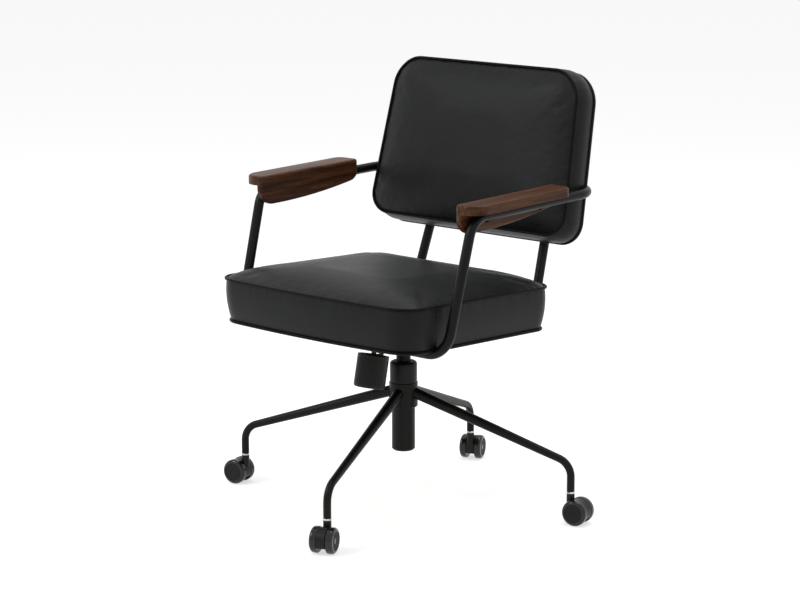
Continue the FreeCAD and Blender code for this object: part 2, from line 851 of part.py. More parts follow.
def bolt_holes(bolts):
    """Clearance holes around a set of M6 bolts, grown from their shanks."""
    holes = []
    for bolt in bolts:
        shank = [f for f in bolt.Faces if f.Surface.TypeId == "Part::GeomCylinder"
                 and abs(f.Surface.Radius - bolt_dia / 2) < 0.01][0]
        line = shank.Surface.Axis
        low = shank.CenterOfMass - line * 60
        holes.append(Part.makeCylinder(bolt_dia / 2 + bolt_play, 120, low, line))
    return Part.makeCompound(holes)


def rail_bolt_places():
    """Centres of the four bolts that hold the frame's rails to the seat board."""
    return [(side * rail_corner().x, y) for side in (-1, 1) for y in (-rail_bolt_front, rail_bolt_rear)]


def rail_bolts():
    """Bolts through the rails and the loop's front run into the seat board."""
    up = seat_placement().Rotation.multVec(UP)
    bolts = []
    for x, y in rail_bolt_places():
        centre = seat_point(x, y, -frame_r)
        start = centre + up * (frame_r + bolt_bite)
        bolts.append(bolt_with_dome(start, up * -1, 2 * frame_r + bolt_bite))
    return bolts


def plate_bolts():
    """Bolts through the mechanism's top plate into the seat board."""
    bolts = []
    for x, y in plate_bolt_places():
        shank = Part.makeCylinder(plate_bolt_dia / 2, plate_thick + bolt_bite, Vector(x, y, -plate_thick))
        head = Part.makeCylinder(plate_bolt_dia * 0.85, 4.5, Vector(x, y, -plate_thick - 4.5))
        bolts.append(on_seat(fused([shank, head])))
    return bolts


def make_tube_plug():
    """Plastic plug in the upper end of the left upright."""
    up = upright_direction()
    top = upright_point(loop_rear_point().z + upright_above_loop)
    lip = Part.makeCylinder(frame_r, plug_lip, top, up)
    crest = circle_edges(lip, lambda centre: (centre - top).dot(up) > plug_lip / 2)
    lip = lip.makeChamfer(1.0, crest)
    spigot = Part.makeCylinder(frame_r - frame_wall, plug_depth, top - up * plug_depth, up)
    return fused([lip, spigot])


def make_upright():
    tube = upright_solid(frame_tube_dia)
    up = upright_direction()
    top = upright_point(loop_rear_point().z + upright_above_loop)
    tube = tube.cut(Part.makeCylinder(frame_r - frame_wall, plug_depth, top - up * plug_depth, up))
    return tube.cut(loop_solid(frame_tube_dia))


# Armrests, drawn level along the loop's arm run and then tilted with it

def on_arm(shape):
    """Tilts a piece drawn level at the arm corner by the arm's rise."""
    shape.rotate(Vector(0, arm_corner_y, arm_corner_z), Vector(1, 0, 0), arm_rise)
    return shape


armrest_inner_x = arm_x - frame_r - flange_gap - flange_thick
armrest_outer_x = armrest_inner_x + armrest_width
armrest_rear_y = armrest_front_y + armrest_length
armrest_under_z = arm_corner_z + frame_r + armrest_seat_gap
armrest_top_z = armrest_under_z + armrest_thick


def make_flange():
    """Inner flange of the left armrest, as high as its top, with a bowed lower edge."""
    front_low = Vector(armrest_inner_x, armrest_front_y, armrest_under_z - flange_front_drop)
    rear_low = Vector(armrest_inner_x, armrest_rear_y, armrest_under_z - flange_rear_drop)
    front_top = Vector(armrest_inner_x, armrest_front_y, armrest_top_z)
    rear_top = Vector(armrest_inner_x, armrest_rear_y, armrest_top_z)
    low_middle = (front_low + rear_low) * 0.5 - Vector(0, 0, flange_bow)
    outline = Part.Wire([Part.Arc(front_low, low_middle, rear_low).toShape(),
                         Part.LineSegment(rear_low, rear_top).toShape(),
                         Part.LineSegment(rear_top, front_top).toShape(),
                         Part.LineSegment(front_top, front_low).toShape()])
    flange = Part.Face(outline).extrude(Vector(flange_thick, 0, 0))
    for y, radius in ((armrest_front_y, flange_front_corner), (armrest_rear_y, flange_rear_corner)):
        corner = [e for e in flange.Edges if abs(e.tangentAt(e.FirstParameter).x) > 0.9
                  and abs(e.CenterOfMass.y - y) < 0.1 and e.CenterOfMass.z < armrest_under_z]
        flange = flange.makeFillet(radius, corner)
    faces_x = (armrest_inner_x, armrest_inner_x + flange_thick)
    low = [e for e in flange.Edges if min(abs(e.CenterOfMass.x - x) for x in faces_x) < 0.01
           and e.BoundBox.ZMax < armrest_top_z - 0.1]
    return flange.makeFillet(flange_round, low)


def make_armrest():
    corners = [Vector(armrest_inner_x, armrest_front_y, 0), Vector(armrest_outer_x, armrest_front_y, 0),
               Vector(armrest_outer_x, armrest_rear_y, 0), Vector(armrest_inner_x, armrest_rear_y, 0)]
    radii = [armrest_inner_corner, armrest_front_corner, armrest_rear_corner, armrest_inner_corner]
    plan = Part.Face(round_corner_outline(corners, radii))
    depth = armrest_thick + flange_front_drop + flange_bow
    prism = plan.extrude(Vector(0, 0, depth))
    prism.translate(Vector(0, 0, armrest_top_z - depth))
    crest = [e for e in prism.Edges if abs(e.CenterOfMass.z - armrest_top_z) < 0.01]
    prism = prism.makeFillet(armrest_round, crest)
    plate = Part.makeBox(armrest_width, armrest_length, armrest_thick,
                         Vector(armrest_inner_x, armrest_front_y, armrest_under_z))
    wood = prism.common(plate.fuse(make_flange()))
    holes = Part.makeCompound([screw_shank(y, armrest_screw_dia) for y in armrest_screw_places()])
    return on_arm(wood.removeSplitter()).cut(on_arm(holes))


def armrest_screw_places():
    """Y of the two screws under each armrest."""
    return [armrest_front_y + armrest_screw_inset, armrest_rear_y - armrest_screw_inset]


def screw_shank(y, dia):
    """Shank of an armrest screw from the tube's underside into the wood."""
    return cylinder(dia, frame_tube_dia + armrest_thick * 0.6, Vector(arm_x, y, arm_corner_z - frame_r))


def armrest_screws():
    """Countersunk screws through the arm tube into the wood, sitter's left."""
    screws = []
    for y in armrest_screw_places():
        head_base = Vector(arm_x, y, arm_corner_z - frame_r - 1.4)
        head = Part.makeCone(armrest_screw_dia, armrest_screw_dia / 2, 3.0, head_base)
        screws.append(on_arm(fused([screw_shank(y, armrest_screw_dia), head])))
    return screws


def make_loop(bolts):
    """The bent tube loop with its screw and bolt holes."""
    loop = loop_solid(frame_tube_dia)
    screws = armrest_screws()
    loop = loop.cut(Part.makeCompound(screws + [mirrored(s) for s in screws]))
    return loop.cut(bolt_holes(bolts[:2]))


# Seat

def seat_outline(inset, z, tilt):
    """Seat outline moved inwards by inset, on a plane at height z that falls to the rear by tilt."""
    corners = [Vector(-seat_front_half + inset, seat_front_y + inset, 0),
               Vector(seat_front_half - inset, seat_front_y + inset, 0),
               Vector(seat_rear_half - inset, seat_rear_y - inset, 0),
               Vector(-seat_rear_half + inset, seat_rear_y - inset, 0)]
    shrink = inset * 0.6
    front = max(seat_front_corner - shrink, 8.0)
    rear = max(seat_rear_corner - shrink, 8.0)
    wire = round_corner_outline(corners, [front, front, rear, rear], seat_front_bow)
    wire.Placement = FreeCAD.Placement(Vector(0, 0, z), Rotation(Vector(1, 0, 0), -tilt))
    return wire


def make_seat_board():
    outline = Part.Face(seat_outline(board_inset, 0, 0))
    board = on_seat(outline.extrude(Vector(0, 0, board_thick)))
    up = seat_placement().Rotation.multVec(UP)
    holes = [cylinder(bolt_dia + 2 * bolt_play, board_thick, seat_point(x, y, 0), up)
             for x, y in rail_bolt_places()]
    holes += [cylinder(plate_bolt_dia + 2 * bolt_play, board_thick, seat_point(x, y, 0), up)
              for x, y in plate_bolt_places()]
    return board.cut(Part.makeCompound(holes)).cut(loop_solid(frame_tube_dia + loop_seat_gap))


def crown_steps(reach, height):
    """Inset and height of the sections that a cushion's crown is lofted through."""
    steps = [(0.07, 0.42), (0.27, 0.77), (0.62, 0.95), (1.0, 1.0)]
    return [(reach * share, height * rise) for share, rise in steps]


def make_seat_cushion(loop_relief):
    middle_z = (seat_plane_z + seat_piping_z) / 2
    boxing = Part.makeLoft([seat_outline(seat_bottom_inset, seat_plane_z, seat_recline),
                            seat_outline(-seat_bulge, middle_z, seat_recline / 2),
                            seat_outline(0, seat_piping_z, 0)], True, False)
    sections = [seat_outline(0, seat_piping_z, 0)]
    sections += [seat_outline(inset, seat_piping_z + rise, 0)
                 for inset, rise in crown_steps(seat_crown_reach, seat_crown)]
    cushion = boxing.fuse(Part.makeLoft(sections, True, False))
    pocket = Part.Face(seat_outline(board_inset, 0, 0)).extrude(Vector(0, 0, board_thick + 20))
    pocket.translate(Vector(0, 0, -20))
    return cushion.cut(on_seat(pocket)).cut(loop_relief)


# Backrest, drawn lying in the XY plane: X across, Y up the back, Z out of its front face

def on_back(shape):
    """Stands a piece drawn in the back's own plane up at the backrest."""
    turn = Rotation(Vector(1, 0, 0), 90.0 - back_lean)
    stand = FreeCAD.Placement(Vector(0, back_bottom_y, back_bottom_z), turn)
    shape.Placement = stand.multiply(shape.Placement)
    return shape


def back_outline(inset, z):
    """Backrest outline moved inwards by inset, z in front of the front piping."""
    corners = [Vector(-back_bottom_half + inset, inset, z), Vector(back_bottom_half - inset, inset, z),
               Vector(back_top_half - inset, back_height - inset, z),
               Vector(-back_top_half + inset, back_height - inset, z)]
    low = max(back_bottom_corner - inset * 0.5, 8.0)
    high = max(back_top_corner - inset * 0.5, 8.0)
    return round_corner_outline(corners, [low, low, high, high])


def make_back_board(bolts):
    board = Part.Face(back_outline(back_board_inset, -back_depth)).extrude(Vector(0, 0, back_board_thick))
    return on_back(board).cut(bolt_holes(bolts)).cut(loop_solid(frame_tube_dia + loop_seat_gap))


def make_back_cushion(loop_relief):
    boxing = Part.makeLoft([back_outline(0, -back_depth), back_outline(-back_bulge, -back_depth / 2),
                            back_outline(0, 0)], True, False)
    sections = [back_outline(0, 0)]
    sections += [back_outline(inset, rise) for inset, rise in crown_steps(back_crown_reach, back_crown)]
    cushion = boxing.fuse(Part.makeLoft(sections, True, False))
    opening = Part.Face(back_outline(back_board_inset, -back_depth - 20))
    pocket = opening.extrude(Vector(0, 0, back_board_thick + 20))
    return on_back(cushion.cut(pocket)).cut(loop_relief)


# Casters, drawn on the leg that points along +X

caster_axle_x = base_radius + caster_trail
axle_z = wheel_dia / 2
wheel_offset = fork_width / 2 + wheel_side_gap


def make_stem():
    at = Vector(base_radius, 0, 0)
    insert = Part.makeCylinder(stem_dia / 2 - running_play, stem_insert, at + Vector(0, 0, stub_bottom_z))
    collar = Part.makeCylinder(ring_dia / 2, ring_height, at + Vector(0, 0, stub_bottom_z - ring_height))
    collar = collar.makeChamfer(1.0, circle_edges(collar))
    pin = Part.makeCylinder(stem_pin_dia / 2, stem_pin_length,
                            at + Vector(0, 0, stub_bottom_z - ring_height - stem_pin_length))
    return fused([insert, collar, pin])


def make_hood():
    at = Vector(base_radius, 0, 0)
    neck_z = stub_bottom_z - ring_height - side_play
    side = Vector(caster_axle_x, fork_width / 2, axle_z)
    body = cylinder(hood_dia, fork_width, side, Vector(0, -1, 0))
    neck = cylinder(neck_dia, neck_z - axle_z, at + Vector(0, 0, axle_z))
    between = Part.makeBox(60, fork_width, 60, Vector(base_radius - 30, -fork_width / 2, axle_z))
    above = cylinder(neck_dia, 20, at + Vector(0, 0, wheel_dia + 0.6))
    hood = body.fuse(neck.common(between.fuse(above)))
    low = hood_dia / 2 * math.cos(math.radians(hood_cut_angle))
    under = Vector(caster_axle_x - 40, -fork_width / 2, axle_z - low - hood_dia)
    hood = hood.cut(Part.makeBox(80, fork_width, hood_dia, under))
    bore_z = neck_z - stem_pin_length - 1
    bore = cylinder(stem_pin_dia + 2 * running_play, stem_pin_length + 4, Vector(base_radius, 0, bore_z))
    axle = cylinder(axle_dia, fork_width, side, Vector(0, -1, 0))
    return hood.cut(bore).cut(axle).removeSplitter()


def make_axle():
    reach = wheel_offset + wheel_width - wheel_recess - wheel_bore_floor - 0.4
    return Part.makeCylinder(axle_dia / 2, 2 * reach, Vector(caster_axle_x, reach, axle_z), Vector(0, -1, 0))


def make_wheel(side):
    r = wheel_dia / 2
    width = wheel_width
    blank = Part.makeCylinder(r, width, ORIGIN, Vector(0, side, 0))
    wheel = blank.makeFillet(wheel_edge_r, circle_edges(blank, lambda centre: abs(centre.y) > width / 2))
    wheel = wheel.makeChamfer(wheel_inner_edge, circle_edges(wheel, lambda centre: abs(centre.y) < 0.01))
    outer_face = Vector(0, side * (width - wheel_recess), 0)
    wheel = wheel.cut(Part.makeCylinder(wheel_cap_dia / 2, wheel_recess, outer_face, Vector(0, side, 0)))
    bore_depth = width - wheel_recess - wheel_bore_floor
    wheel = wheel.cut(cylinder(axle_dia + 2 * running_play, bore_depth, ORIGIN, Vector(0, side, 0)))
    wheel.translate(Vector(caster_axle_x, side * wheel_offset, axle_z))
    return wheel


def build():
    os.makedirs("parts", exist_ok=True)

    save("base_hub", make_hub())
    save("stand_tube", make_stand_tube())
    save("column_cap", make_column_cap())
    save("guide_bush", make_guide_bush())
    save("thrust_bearing", make_thrust_bearing())
    save("piston_rod", make_piston_rod())
    save("retaining_clip", make_retaining_clip())
    save("gas_cylinder", make_gas_cylinder())
    save("release_pin", make_release_pin())

    for index, place in enumerate(("front", "left", "rear", "right")):
        save("leg_" + place, placed_on_leg(make_leg(), index))
        save("caster_stem_" + place, placed_on_leg(make_stem(), index))
        save("caster_hood_" + place, placed_on_stem(make_hood(), index))
        save("caster_axle_" + place, placed_on_stem(make_axle(), index))
        save("caster_wheel_%s_a" % place, placed_on_stem(make_wheel(1), index))
        save("caster_wheel_%s_b" % place, placed_on_stem(make_wheel(-1), index))

    save("mechanism_pan", make_pan())
    save("tilt_shaft", make_tilt_shaft())
    save("tilt_bush_left", make_shaft_bush(1))
    save("tilt_bush_right", make_shaft_bush(-1))
    save("top_plate", make_top_plate())
    save("plate_bolts", Part.makeCompound(plate_bolts()))
    save("tension_knob", make_tension_knob())
    save("spring_washer", make_spring_washer())
    save("tension_bolt", make_tension_bolt())
    save("tension_spring", make_spring())
    save("height_lever", make_lever())
    save("lever_grip", make_lever_grip())

    back_set = back_bolts()
    rail_set = rail_bolts()
    relief = loop_solid(frame_tube_dia + 2 * soft_play)
    save("arm_loop", make_loop(back_set))
    upright = make_upright().cut(bolt_holes(rail_set)).cut(bolt_holes(back_set[2:]))
    save("upright_left", upright)
    save("upright_right", mirrored(upright))
    plug = make_tube_plug()
    save("tube_plugs", Part.makeCompound([plug, mirrored(plug)]))
    spacer = make_spacer()
    save("back_spacers", Part.makeCompound([spacer, mirrored(spacer)]))
    save("back_bolts", Part.makeCompound(back_set))
    save("rail_bolts", Part.makeCompound(rail_set))

    armrest = make_armrest()
    save("armrest_left", armrest)
    save("armrest_right", mirrored(armrest))
    screws = armrest_screws()
    save("armrest_screws", Part.makeCompound(screws + [mirrored(s) for s in screws]))

    save("seat_board", make_seat_board())
    save("seat_cushion", make_seat_cushion(relief))
    save("back_board", make_back_board(back_set))
    save("back_cushion", make_back_cushion(relief))


build()
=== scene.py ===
"""Looks of a swivel desk chair with a bent tube frame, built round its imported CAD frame."""

import logging
import math
from dataclasses import dataclass, field
from enum import Enum
from typing import Optional

import bpy
from mathutils import Matrix, Vector, noise


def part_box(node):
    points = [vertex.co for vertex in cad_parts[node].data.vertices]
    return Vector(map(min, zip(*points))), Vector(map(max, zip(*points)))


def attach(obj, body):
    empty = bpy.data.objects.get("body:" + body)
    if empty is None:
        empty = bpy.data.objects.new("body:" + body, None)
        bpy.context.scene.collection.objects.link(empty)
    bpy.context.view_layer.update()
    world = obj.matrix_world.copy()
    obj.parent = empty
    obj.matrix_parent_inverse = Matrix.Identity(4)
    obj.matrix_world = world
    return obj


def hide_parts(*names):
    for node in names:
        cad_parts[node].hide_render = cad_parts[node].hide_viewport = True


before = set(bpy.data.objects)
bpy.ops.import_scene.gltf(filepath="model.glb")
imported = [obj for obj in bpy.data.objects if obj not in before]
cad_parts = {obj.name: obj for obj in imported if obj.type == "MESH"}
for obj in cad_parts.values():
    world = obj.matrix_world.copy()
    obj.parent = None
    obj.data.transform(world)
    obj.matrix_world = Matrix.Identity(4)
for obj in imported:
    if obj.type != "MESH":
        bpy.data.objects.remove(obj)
log = logging.getLogger("chair")
MM = 0.001
RIM = 0.999  # a unit square's point past this, or a unit cube's, counts as lying on its edge
PLACES = ("front", "left", "rear", "right")
SIDES = ("a", "b")


class Grain(Enum):
    """Which axis a wooden piece's grain runs along."""

    ALONG_X = 0
    ALONG_Y = 1


def srgb(code: str) -> tuple[float, float, float, float]:
    """Turns an sRGB hex colour into linear RGBA.

    Args:
        code: Six hex digits, with or without a leading hash.

    Returns:
        Linear red, green, blue and an alpha of one.
    """
    digits = code.lstrip("#")
    channels = [int(digits[i:i + 2], 16) / 255.0 for i in (0, 2, 4)]
    linear = [c / 12.92 if c <= 0.04045 else ((c + 0.055) / 1.055) ** 2.4 for c in channels]
    return linear[0], linear[1], linear[2], 1.0


def add_node(tree: bpy.types.NodeTree, kind: str, inputs: Optional[dict] = None,
             **settings: object) -> bpy.types.Node:
    """Adds one node with its settings, constants and incoming links.

    Args:
        tree: The node tree that gets the node.
        kind: Blender's type name of the node.
        inputs: Socket name or number to a constant, or to a socket that is linked to it.
        settings: Properties of the node.

    Returns:
        The new node.
    """
    node = tree.nodes.new(kind)
    for name, value in settings.items():
        setattr(node, name, value)
    for name, value in (inputs or {}).items():
        if isinstance(value, bpy.types.NodeSocket):
            tree.links.new(value, node.inputs[name])
        else:
            node.inputs[name].default_value = value
    return node


def colour_ramp(tree: bpy.types.NodeTree, factor: bpy.types.NodeSocket,
                stops: list[tuple[float, str]]) -> bpy.types.NodeSocket:
    """Adds a colour ramp.

    Args:
        tree: The node tree.
        factor: The socket that drives the ramp.
        stops: Positions with their hex colours, lowest first.

    Returns:
        The ramp's colour socket.
    """
    node = add_node(tree, "ShaderNodeValToRGB", {"Fac": factor})
    elements = node.color_ramp.elements
    while len(elements) < len(stops):
        elements.new(0.5)
    for element, (position, code) in zip(elements, stops):
        element.position = position
        element.color = srgb(code)
    return node.outputs["Color"]


def value_range(tree: bpy.types.NodeTree, source: bpy.types.NodeSocket, low: float,
                high: float) -> bpy.types.NodeSocket:
    """Spreads a zero to one value over a range.

    Args:
        tree: The node tree.
        source: The socket that is spread.
        low: Result at zero.
        high: Result at one.

    Returns:
        The spread value's socket.
    """
    node = add_node(tree, "ShaderNodeMapRange", {"Value": source, "To Min": low, "To Max": high})
    return node.outputs["Result"]


def larger_of(tree: bpy.types.NodeTree, first: bpy.types.NodeSocket,
              second: bpy.types.NodeSocket) -> bpy.types.NodeSocket:
    """Adds the larger of two values.

    Args:
        tree: The node tree.
        first: One value.
        second: The other.

    Returns:
        The larger value's socket.
    """
    node = add_node(tree, "ShaderNodeMath", {0: first, 1: second}, operation="MAXIMUM")
    return node.outputs[0]


def new_surface(name: str) -> tuple[bpy.types.Material, bpy.types.NodeTree, bpy.types.Node,
                                    bpy.types.NodeSocket]:
    """Starts a material.

    Args:
        name: The material's name.

    Returns:
        The material, its tree, its Principled node and the Object coordinate socket.
    """
    material = bpy.data.materials.new(name)
    material.use_nodes = True
    tree = material.node_tree
    tree.nodes.clear()
    shader = add_node(tree, "ShaderNodeBsdfPrincipled")
    add_node(tree, "ShaderNodeOutputMaterial", {"Surface": shader.outputs["BSDF"]})
    place = add_node(tree, "ShaderNodeTexCoord").outputs["Object"]
    return material, tree, shader, place


def add_bump(tree: bpy.types.NodeTree, shader: bpy.types.Node, height: bpy.types.NodeSocket,
             depth_mm: float, below: Optional[bpy.types.Node] = None) -> bpy.types.Node:
    """Adds a bump to a shader.

    Args:
        tree: The node tree.
        shader: The Principled node.
        height: The height pattern, zero to one.
        depth_mm: Depth of the pattern in millimetres.
        below: An earlier bump that this one adds to.

    Returns:
        The bump node.
    """
    inputs = {"Height": height, "Distance": depth_mm * MM, "Strength": 1.0}
    if below is not None:
        inputs["Normal"] = below.outputs["Normal"]
    bump = add_node(tree, "ShaderNodeBump", inputs)
    tree.links.new(bump.outputs["Normal"], shader.inputs["Normal"])
    return bump


def noise_pattern(tree: bpy.types.NodeTree, place: bpy.types.NodeSocket, size_mm: float,
                  detail: float = 2.0, stretch: tuple[float, float, float] = (1.0, 1.0, 1.0),
                  distortion: float = 0.0) -> bpy.types.NodeSocket:
    """Adds a noise pattern of a real size.

    Args:
        tree: The node tree.
        place: The coordinate socket.
        size_mm: Width of one blotch in millimetres.
        detail: Octaves of finer noise.
        stretch: How much longer a blotch is along each axis.
        distortion: How much the pattern is warped.

    Returns:
        The pattern's zero to one socket.
    """
    squeezed = add_node(tree, "ShaderNodeMapping",
                        {"Vector": place, "Scale": tuple(1.0 / s for s in stretch)})
    pattern = add_node(tree, "ShaderNodeTexNoise",
                       {"Vector": squeezed.outputs["Vector"], "Scale": 1.0 / (size_mm * MM),
                        "Detail": detail, "Distortion": distortion})
    return pattern.outputs["Fac"]


@dataclass(frozen=True)
class PowderCoat:
    """Baked powder coat on steel: a low satin film with a fine orange peel."""

    name: str = "powder_coated_steel"
    colour: str = "#0d0d0c"
    worn: str = "#151513"
    roughness: float = 0.34
    specular: float = 0.14
    peel_mm: float = 0.9
    peel_depth_mm: float = 0.012

    def build(self) -> bpy.types.Material:
        """Builds the material.

        Returns:
            The material.
        """
        material, tree, shader, place = new_surface(self.name)
        patch = noise_pattern(tree, place, 18.0, 3.0)
        tree.links.new(colour_ramp(tree, patch, [(0.3, self.colour), (0.8, self.worn)]),
                       shader.inputs["Base Color"])
        tree.links.new(value_range(tree, patch, self.roughness - 0.05, self.roughness + 0.07),
                       shader.inputs["Roughness"])
        add_bump(tree, shader, noise_pattern(tree, place, self.peel_mm, 1.0), self.peel_depth_mm)
        shader.inputs["Specular IOR Level"].default_value = self.specular
        return material


@dataclass(frozen=True)
class Leather:
    """Pigmented cowhide: a smooth satin topcoat over a fine pebbled grain with soft creases."""

    name: str = "pigmented_leather"
    colour: str = "#101111"
    rubbed: str = "#181919"
    roughness: float = 0.4
    specular: float = 0.15
    sheen: float = 0.022
    pebble_mm: float = 1.1
    pebble_depth_mm: float = 0.05
    crease_mm: float = 26.0
    crease_depth_mm: float = 0.3

    def build(self) -> bpy.types.Material:
        """Builds the material.

        Returns:
            The material.
        """
        material, tree, shader, place = new_surface(self.name)
        patch = noise_pattern(tree, place, 70.0, 4.0)
        tree.links.new(colour_ramp(tree, patch, [(0.3, self.colour), (0.75, self.rubbed)]),
                       shader.inputs["Base Color"])
        pebbles = add_node(tree, "ShaderNodeTexVoronoi",
                           {"Vector": place, "Scale": 1.0 / (self.pebble_mm * MM)},
                           feature="DISTANCE_TO_EDGE").outputs["Distance"]
        rise = add_node(tree, "ShaderNodeMath", {0: pebbles, 1: 4.0}, operation="MULTIPLY",
                        use_clamp=True).outputs[0]
        tree.links.new(value_range(tree, patch, self.roughness - 0.04, self.roughness + 0.08),
                       shader.inputs["Roughness"])
        creases = noise_pattern(tree, place, self.crease_mm, 2.0, distortion=0.4)
        soft = add_bump(tree, shader, creases, self.crease_depth_mm)
        add_bump(tree, shader, rise, self.pebble_depth_mm, soft)
        shader.inputs["Sheen Weight"].default_value = self.sheen
        shader.inputs["Sheen Roughness"].default_value = 0.4
        shader.inputs["Sheen Tint"].default_value = srgb("#c9d6e0")
        shader.inputs["Specular IOR Level"].default_value = self.specular
        return material


@dataclass(frozen=True)
class Walnut:
    """Oiled walnut: open pores and dark streaks along the grain under a satin oil film."""

    name: str = "oiled_walnut"
    grain: Grain = Grain.ALONG_Y
    dark: str = "#29160c"
    middle: str = "#50301c"
    light: str = "#7c5235"
    roughness: float = 0.42
    ring_mm: float = 13.0
    pore_mm: float = 0.7

    def build(self) -> bpy.types.Material:
        """Builds the material.

        Returns:
            The material.
        """
        material, tree, shader, place = new_surface(self.name)
        along = [1.0, 1.0, 1.0]
        along[self.grain.value] = 22.0
        broad = noise_pattern(tree, place, self.ring_mm, 5.0, tuple(along), 1.1)
        tint = colour_ramp(tree, broad, [(0.26, self.dark), (0.5, self.middle), (0.78, self.light)])
        pore_run = [1.0, 1.0, 1.0]
        pore_run[self.grain.value] = 24.0
        pores = noise_pattern(tree, place, self.pore_mm, 1.0, tuple(pore_run))
        shade = colour_ramp(tree, pores, [(0.36, "#a3978d"), (0.5, "#ffffff")])
        blend = add_node(tree, "ShaderNodeMix", {0: 0.7, 6: tint, 7: shade}, data_type="RGBA",
                         blend_type="MULTIPLY")
        tree.links.new(blend.outputs[2], shader.inputs["Base Color"])
        tree.links.new(value_range(tree, broad, self.roughness + 0.1, self.roughness - 0.06),
                       shader.inputs["Roughness"])
        add_bump(tree, shader, pores, 0.05)
        shader.inputs["Coat Weight"].default_value = 0.05
        shader.inputs["Coat Roughness"].default_value = 0.3
        shader.inputs["Specular IOR Level"].default_value = 0.14
        return material


@dataclass(frozen=True)
class MouldedPlastic:
    """Injection moulded plastic with the fine spark texture of its mould."""

    name: str
    colour: str = "#0e0e0d"
    roughness: float = 0.46
    specular: float = 0.2
    spark_mm: float = 0.5
    spark_depth_mm: float = 0.02
    coat: float = 0.0

    def build(self) -> bpy.types.Material:
        """Builds the material.

        Returns:
            The material.
        """
        material, tree, shader, place = new_surface(self.name)
        patch = noise_pattern(tree, place, 9.0, 3.0)
        channels = [min(255, int(int(self.colour[i:i + 2], 16) * 1.2 + 4)) for i in (1, 3, 5)]
        shade = "#%02x%02x%02x" % tuple(channels)
        tree.links.new(colour_ramp(tree, patch, [(0.3, self.colour), (0.8, shade)]),
                       shader.inputs["Base Color"])
        tree.links.new(value_range(tree, patch, self.roughness - 0.04, self.roughness + 0.06),
                       shader.inputs["Roughness"])
        add_bump(tree, shader, noise_pattern(tree, place, self.spark_mm, 1.0), self.spark_depth_mm)
        shader.inputs["Specular IOR Level"].default_value = self.specular
        shader.inputs["Coat Weight"].default_value = self.coat
        shader.inputs["Coat Roughness"].default_value = 0.06
        return material


@dataclass(frozen=True)
class PlatedSteel:
    """Zinc plated or ground steel: a metal with fine drawing lines and faint stains."""

    name: str = "zinc_plated_steel"
    colour: str = "#c9cac4"
    stain: str = "#a4a69f"
    roughness: float = 0.28
    line_mm: float = 0.3
    stretch: tuple[float, float, float] = (1.0, 1.0, 12.0)

    def build(self) -> bpy.types.Material:
        """Builds the material.

        Returns:
            The material.
        """
        material, tree, shader, place = new_surface(self.name)
        patch = noise_pattern(tree, place, 6.0, 3.0)
        lines = noise_pattern(tree, place, self.line_mm, 1.0, self.stretch)
        tree.links.new(colour_ramp(tree, patch, [(0.35, self.stain), (0.65, self.colour)]),
                       shader.inputs["Base Color"])
        tree.links.new(value_range(tree, patch, self.roughness + 0.06, self.roughness - 0.06),
                       shader.inputs["Roughness"])
        shader.inputs["Metallic"].default_value = 1.0
        add_bump(tree, shader, lines, 0.006)
        return material


@dataclass(frozen=True)
class BirchPly:
    """Moulded birch plywood: pale even face veneer with short flecks."""

    name: str = "birch_plywood"
    dark: str = "#a98560"
    light: str = "#cdaa7f"

    def build(self) -> bpy.types.Material:
        """Builds the material.

        Returns:
            The material.
        """
        material, tree, shader, place = new_surface(self.name)
        fleck = noise_pattern(tree, place, 5.0, 4.0, (1.0, 14.0, 1.0), 0.6)
        tree.links.new(colour_ramp(tree, fleck, [(0.35, self.dark), (0.65, self.light)]),
                       shader.inputs["Base Color"])
        tree.links.new(value_range(tree, fleck, 0.62, 0.5), shader.inputs["Roughness"])
        add_bump(tree, shader, noise_pattern(tree, place, 0.8, 1.0, (1.0, 16.0, 1.0)), 0.04)
        return material


def deselect_all() -> None:
    """Leaves nothing selected, so that an operator acts on what comes next alone."""
    if bpy.context.object is not None and bpy.context.object.mode != "OBJECT":
        bpy.ops.object.mode_set(mode="OBJECT")
    bpy.ops.object.select_all(action="DESELECT")


def make_active(piece: bpy.types.Object) -> None:
    """Selects one object alone and makes it the active one.

    Args:
        piece: The object.
    """
    deselect_all()
    piece.select_set(True)
    bpy.context.view_layer.objects.active = piece


def dress(piece: bpy.types.Object, material: bpy.types.Material) -> None:
    """Puts a material on all of a piece.

    Args:
        piece: The piece.
        material: The material.
    """
    if not piece.material_slots:
        piece.data.materials.append(material)
    for place in piece.material_slots:
        place.material = material


def settle(piece: bpy.types.Object) -> None:
    """Moves a piece's place into its mesh and leaves the object at the origin.

    Args:
        piece: The piece.
    """
    make_active(piece)
    bpy.ops.object.transform_apply(location=True, rotation=True, scale=True)


def corner_fill(x: float, y: float, half_x: float, half_y: float,
                radius: float) -> tuple[float, float]:
    """Pulls a point of a rectangle into the same rectangle with rounded corners.

    Args:
        x: Place across, from minus half_x to half_x.
        y: Place along, from minus half_y to half_y.
        half_x: Half width.
        half_y: Half length.
        radius: Corner radius.

    Returns:
        The point's new place.
    """
    u = (abs(x) - (half_x - radius)) / radius
    v = (abs(y) - (half_y - radius)) / radius
    if u <= 0 or v <= 0:
        return x, y
    new_u = u * math.sqrt(max(0.0, 1 - v * v / 2))
    new_v = v * math.sqrt(max(0.0, 1 - u * u / 2))
    return (math.copysign(half_x - radius + new_u * radius, x),
            math.copysign(half_y - radius + new_v * radius, y))


